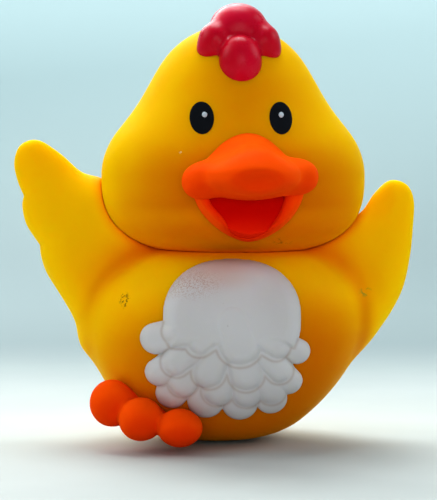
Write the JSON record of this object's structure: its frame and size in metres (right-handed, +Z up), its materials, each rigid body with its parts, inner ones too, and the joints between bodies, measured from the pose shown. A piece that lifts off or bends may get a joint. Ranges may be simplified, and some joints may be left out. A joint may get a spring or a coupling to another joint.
{
  "type": "vinyl chick squeeze toy",
  "caption": "Hollow soft-vinyl chick squeeze toy with raised wings, a turning head, an open bill, a lobed comb, white belly feathers and a reed squeaker in its flat base.",
  "frame": {"origin": "centre of the flat base, where the squeaker's axis meets the surface the toy stands on", "axes": "+Z up, the face and belly look along -Y, the chick's own left wing is at +X and its tail at +Y"},
  "size_m": [0.062, 0.0581, 0.0657],
  "materials": {
    "skin_yellow": "satin",
    "beak_orange": "satin",
    "comb_red": "gloss",
    "mouth_red": "satin",
    "belly_white": "matte",
    "eye_black": "gloss",
    "glint_white": "satin",
    "ring_plastic": "satin",
    "squeaker_plastic": "satin",
    "reed_metal": "satin"
  },
  "bodies": {
    "torso": {"torso_shell": "skin_yellow", "belly_feathers": "belly_white", "right_foot": "beak_orange", "left_foot": "beak_orange", "squeaker_barrel": "squeaker_plastic", "squeaker_cap": "squeaker_plastic", "reed_trough": "ring_plastic", "reed_clip": "squeaker_plastic"},
    "neck": {"neck_ring": "ring_plastic"},
    "head": {"head_shell": "skin_yellow", "comb": "comb_red", "upper_beak": "beak_orange", "lower_beak": "beak_orange", "mouth_lining": "mouth_red", "right_eye": "eye_black", "left_eye": "eye_black", "right_eye_glint": "glint_white", "left_eye_glint": "glint_white"},
    "reed": {"squeaker_reed": "reed_metal"}
  },
  "joints": [
    {"name": "body_squeeze", "type": "slide", "parent": "torso", "child": "neck", "axis": [0, 0, -1], "range_m": [0, 0.004], "stiffness_N_per_m": 1500, "deforming": ["torso_shell", "belly_feathers"]},
    {"name": "head_turn", "type": "hinge", "parent": "neck", "child": "head", "pos_m": [0.0025, 0, 0.0288], "axis": [0, 0, 1], "range_deg": [-45, 35]},
    {"name": "reed_flex", "type": "hinge", "parent": "torso", "child": "reed", "pos_m": [0, -0.00046, 0.0061], "axis": [-1, 0, 0], "range_deg": [-1, 4], "stiffness_Nm_per_rad": 0.00002}
  ]
}
